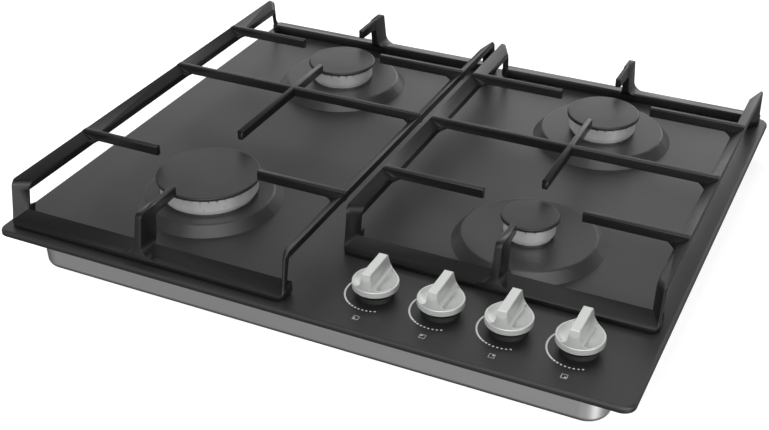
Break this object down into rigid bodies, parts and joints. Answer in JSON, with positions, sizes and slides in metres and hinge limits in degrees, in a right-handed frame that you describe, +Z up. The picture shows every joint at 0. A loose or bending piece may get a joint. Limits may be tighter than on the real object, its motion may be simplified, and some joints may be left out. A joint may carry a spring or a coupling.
{
  "type": "gas cooktop",
  "caption": "Built-in gas cooktop: enamelled top plate over a steel case, lift-off cast pan supports, burners with loose crowns and caps, push-and-turn knobs.",
  "frame": {"origin": "centre of the plan at the bottom of the case", "axes": "+X to the user's right, -Y towards the user (the knob side), +Z up"},
  "size_m": [0.6, 0.52, 0.09],
  "materials": {
    "plate_enamel": "satin black enamel",
    "case_steel": "galvanised sheet",
    "cast_enamel": "matt black enamel",
    "cap_enamel": "satin black enamel",
    "burner_aluminium": "die cast",
    "foot_rubber": "matt",
    "seal_foam": "matt foam",
    "knob_plastic": "satin",
    "collar_plastic": "satin",
    "tap_brass": "machined",
    "plain_steel": "zinc plated",
    "tube_aluminium": "drawn",
    "dark_plastic": "matt",
    "lead_rubber": "satin",
    "insulator_white": "glazed"
  },
  "bodies": {
    "hob": {"top_plate": "plate_enamel", "bottom_case": "case_steel", "plate_seal": "seal_foam", "gas_rail": "plain_steel", "rail_brackets": "case_steel", "supply_pipe": "plain_steel", "gas_inlet": "tap_brass", "tube_nuts": "tap_brass", "injectors": "tap_brass", "cup_screws": "plain_steel", "tap_bonnets": "plain_steel", "tap_screws": "plain_steel", "ignition_switches": "dark_plastic", "spark_generator": "dark_plastic", "ignition_leads": "lead_rubber", "electrode_insulators": "insulator_white", "electrode_tips": "plain_steel", "thermocouples": "tap_brass", "knob_collars": "collar_plastic", "mains_gland": "dark_plastic", "gas_tube_rear_left": "tube_aluminium", "burner_cup_rear_left": "burner_aluminium", "gas_tube_rear_right": "tube_aluminium", "burner_cup_rear_right": "burner_aluminium", "gas_tube_front_left": "tube_aluminium", "burner_cup_front_left": "burner_aluminium", "gas_tube_front_right": "tube_aluminium", "burner_cup_front_right": "burner_aluminium", "tap_body_1": "tap_brass", "tap_body_2": "tap_brass", "tap_body_3": "tap_brass", "tap_body_4": "tap_brass"},
    "left_support": {"left_pan_support": "cast_enamel", "left_support_feet": "foot_rubber"},
    "right_support": {"right_pan_support": "cast_enamel", "right_support_feet": "foot_rubber"},
    "crown_rear_left": {"burner_crown_rear_left": "burner_aluminium"},
    "cap_rear_left": {"burner_cap_rear_left": "cap_enamel"},
    "crown_rear_right": {"burner_crown_rear_right": "burner_aluminium"},
    "cap_rear_right": {"burner_cap_rear_right": "cap_enamel"},
    "crown_front_left": {"burner_crown_front_left": "burner_aluminium"},
    "cap_front_left": {"burner_cap_front_left": "cap_enamel"},
    "crown_front_right": {"burner_crown_front_right": "burner_aluminium"},
    "cap_front_right": {"burner_cap_front_right": "cap_enamel"},
    "valve_1": {"valve_plug_1": "tap_brass"},
    "control_1": {"knob_1": "knob_plastic", "tap_spindle_1": "plain_steel", "tap_spring_1": "plain_steel"},
    "valve_2": {"valve_plug_2": "tap_brass"},
    "control_2": {"knob_2": "knob_plastic", "tap_spindle_2": "plain_steel", "tap_spring_2": "plain_steel"},
    "valve_3": {"valve_plug_3": "tap_brass"},
    "control_3": {"knob_3": "knob_plastic", "tap_spindle_3": "plain_steel", "tap_spring_3": "plain_steel"},
    "valve_4": {"valve_plug_4": "tap_brass"},
    "control_4": {"knob_4": "knob_plastic", "tap_spindle_4": "plain_steel", "tap_spring_4": "plain_steel"}
  },
  "joints": [
    {"name": "left_support_lift", "type": "slide", "parent": "hob", "child": "left_support", "axis": [0, 0, 1], "range_m": [0, 0.08]},
    {"name": "right_support_lift", "type": "slide", "parent": "hob", "child": "right_support", "axis": [0, 0, 1], "range_m": [0, 0.08]},
    {"name": "crown_lift_rear_left", "type": "slide", "parent": "hob", "child": "crown_rear_left", "axis": [0, 0, 1], "range_m": [0, 0.04]},
    {"name": "cap_lift_rear_left", "type": "slide", "parent": "crown_rear_left", "child": "cap_rear_left", "axis": [0, 0, 1], "range_m": [0, 0.05]},
    {"name": "crown_lift_rear_right", "type": "slide", "parent": "hob", "child": "crown_rear_right", "axis": [0, 0, 1], "range_m": [0, 0.04]},
    {"name": "cap_lift_rear_right", "type": "slide", "parent": "crown_rear_right", "child": "cap_rear_right", "axis": [0, 0, 1], "range_m": [0, 0.05]},
    {"name": "crown_lift_front_left", "type": "slide", "parent": "hob", "child": "crown_front_left", "axis": [0, 0, 1], "range_m": [0, 0.04]},
    {"name": "cap_lift_front_left", "type": "slide", "parent": "crown_front_left", "child": "cap_front_left", "axis": [0, 0, 1], "range_m": [0, 0.05]},
    {"name": "crown_lift_front_right", "type": "slide", "parent": "hob", "child": "crown_front_right", "axis": [0, 0, 1], "range_m": [0, 0.04]},
    {"name": "cap_lift_front_right", "type": "slide", "parent": "crown_front_right", "child": "cap_front_right", "axis": [0, 0, 1], "range_m": [0, 0.05]},
    {"name": "knob_turn_1", "type": "hinge", "parent": "hob", "child": "valve_1", "pos_m": [0.06, -0.204, 0.06], "axis": [0, 0, 1], "range_deg": [0, 210]},
    {"name": "knob_push_1", "type": "slide", "parent": "valve_1", "child": "control_1", "axis": [0, 0, -1], "range_m": [0, 0.0035], "stiffness_N_per_m": 600, "springref_m": -0.003, "deforming": ["tap_spring_1"]},
    {"name": "knob_turn_2", "type": "hinge", "parent": "hob", "child": "valve_2", "pos_m": [0.12, -0.204, 0.06], "axis": [0, 0, 1], "range_deg": [0, 210]},
    {"name": "knob_push_2", "type": "slide", "parent": "valve_2", "child": "control_2", "axis": [0, 0, -1], "range_m": [0, 0.0035], "stiffness_N_per_m": 600, "springref_m": -0.003, "deforming": ["tap_spring_2"]},
    {"name": "knob_turn_3", "type": "hinge", "parent": "hob", "child": "valve_3", "pos_m": [0.18, -0.204, 0.06], "axis": [0, 0, 1], "range_deg": [0, 210]},
    {"name": "knob_push_3", "type": "slide", "parent": "valve_3", "child": "control_3", "axis": [0, 0, -1], "range_m": [0, 0.0035], "stiffness_N_per_m": 600, "springref_m": -0.003, "deforming": ["tap_spring_3"]},
    {"name": "knob_turn_4", "type": "hinge", "parent": "hob", "child": "valve_4", "pos_m": [0.24, -0.204, 0.06], "axis": [0, 0, 1], "range_deg": [0, 210]},
    {"name": "knob_push_4", "type": "slide", "parent": "valve_4", "child": "control_4", "axis": [0, 0, -1], "range_m": [0, 0.0035], "stiffness_N_per_m": 600, "springref_m": -0.003, "deforming": ["tap_spring_4"]}
  ]
}
